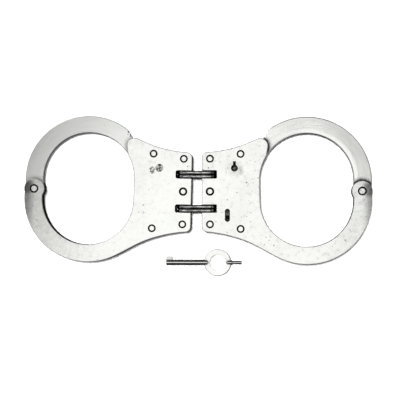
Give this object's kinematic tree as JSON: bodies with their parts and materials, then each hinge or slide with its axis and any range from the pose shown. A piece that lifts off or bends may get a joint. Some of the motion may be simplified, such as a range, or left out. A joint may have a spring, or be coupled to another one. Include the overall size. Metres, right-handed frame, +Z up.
{
  "type": "hinged handcuffs with key",
  "caption": "Rigid hinged handcuffs in polished nickel, with toothed swinging strands, double-lock cases joined by laminated hinge links, and their ring-bow key.",
  "frame": {"origin": "Midway between the two hinge axes and the two hinge links, on the surface that the flat, straightened pair lies on.", "axes": "+X from the left cuff to the right cuff, whose keyhole faces up; +Y from the fixed arms towards the swinging strands; +Z up, out of the resting surface."},
  "size_m": [0.227, 0.1049, 0.0086],
  "materials": {
    "plate_nickel": "polished nickel plate on steel, faint hairlines, worn at the keyhole",
    "strand_nickel": "satin nickel plate on steel, polished inner edge",
    "frame_steel": "ground steel edge, dulled",
    "rivet_nickel": "bright nickel, dark oil in the groove round the head",
    "link_steel": "barrel-polished nickel plate, rounded edges",
    "lock_steel": "hardened steel, lightly oiled",
    "spring_steel": "blued spring steel",
    "key_nickel": "polished nickel plate, rubbed at the barrel's tip"
  },
  "bodies": {
    "left_cuff": {"left_keyhole_plate": "plate_nickel", "left_blind_plate": "plate_nickel", "left_centre_frame": "frame_steel", "left_case_rivets": "rivet_nickel", "left_strand_rivet": "rivet_nickel", "left_hinge_pins": "rivet_nickel", "left_pawl_pin": "lock_steel", "left_pawl_spring": "spring_steel", "left_detent_spring": "spring_steel", "left_key_post": "lock_steel"},
    "left_strand": {"left_strand": "strand_nickel"},
    "left_pawl": {"left_pawl": "lock_steel"},
    "left_lock_slide": {"left_double_lock_slide": "lock_steel"},
    "right_cuff": {"right_keyhole_plate": "plate_nickel", "right_blind_plate": "plate_nickel", "right_centre_frame": "frame_steel", "right_case_rivets": "rivet_nickel", "right_strand_rivet": "rivet_nickel", "right_hinge_pins": "rivet_nickel", "right_pawl_pin": "lock_steel", "right_pawl_spring": "spring_steel", "right_detent_spring": "spring_steel", "right_key_post": "lock_steel"},
    "right_strand": {"right_strand": "strand_nickel"},
    "right_pawl": {"right_pawl": "lock_steel"},
    "right_lock_slide": {"right_double_lock_slide": "lock_steel"},
    "hinge_links": {"rear_link_outer_plate": "link_steel", "rear_link_inner_plate": "link_steel", "front_link_outer_plate": "link_steel", "front_link_inner_plate": "link_steel"},
    "key": {"key_barrel": "key_nickel", "key_bow": "key_nickel", "key_peg": "key_nickel"}
  },
  "joints": [
    {"name": "left_fold", "type": "hinge", "parent": "left_cuff", "child": "hinge_links", "pos_m": [-0.00875, 0, 0.0043], "axis": [-0.0236, -0.9997, 0], "range_deg": [-90, 90]},
    {"name": "right_fold", "type": "hinge", "parent": "hinge_links", "child": "right_cuff", "pos_m": [0.00875, 0, 0.0043], "axis": [0, -1, 0], "range_deg": [-90, 90]},
    {"name": "left_strand_swing", "type": "hinge", "parent": "left_cuff", "child": "left_strand", "pos_m": [-0.10677, 0.00231, 0.0043], "axis": [0, 0, 1], "continuous": true},
    {"name": "left_pawl_rock", "type": "hinge", "parent": "left_cuff", "child": "left_pawl", "pos_m": [-0.03102, 0.00803, 0.0043], "axis": [0, 0, -1], "range_deg": [-1.5, 5.5]},
    {"name": "left_double_lock_travel", "type": "slide", "parent": "left_cuff", "child": "left_lock_slide", "axis": [0.0236, 0.9997, 0], "range_m": [0, 0.0025]},
    {"name": "right_strand_swing", "type": "hinge", "parent": "right_cuff", "child": "right_strand", "pos_m": [0.1068, 0, 0.0043], "axis": [0, 0, -1], "continuous": true},
    {"name": "right_pawl_rock", "type": "hinge", "parent": "right_cuff", "child": "right_pawl", "pos_m": [0.0312, 0.0075, 0.0043], "axis": [0, 0, 1], "range_deg": [-1.5, 5.5]},
    {"name": "right_double_lock_travel", "type": "slide", "parent": "right_cuff", "child": "right_lock_slide", "axis": [0, 1, 0], "range_m": [0, 0.0025]},
    {"name": "key_lift", "type": "slide", "parent": "left_cuff", "child": "key", "axis": [0, 0, 1], "range_m": [0, 0.06]}
  ]
}
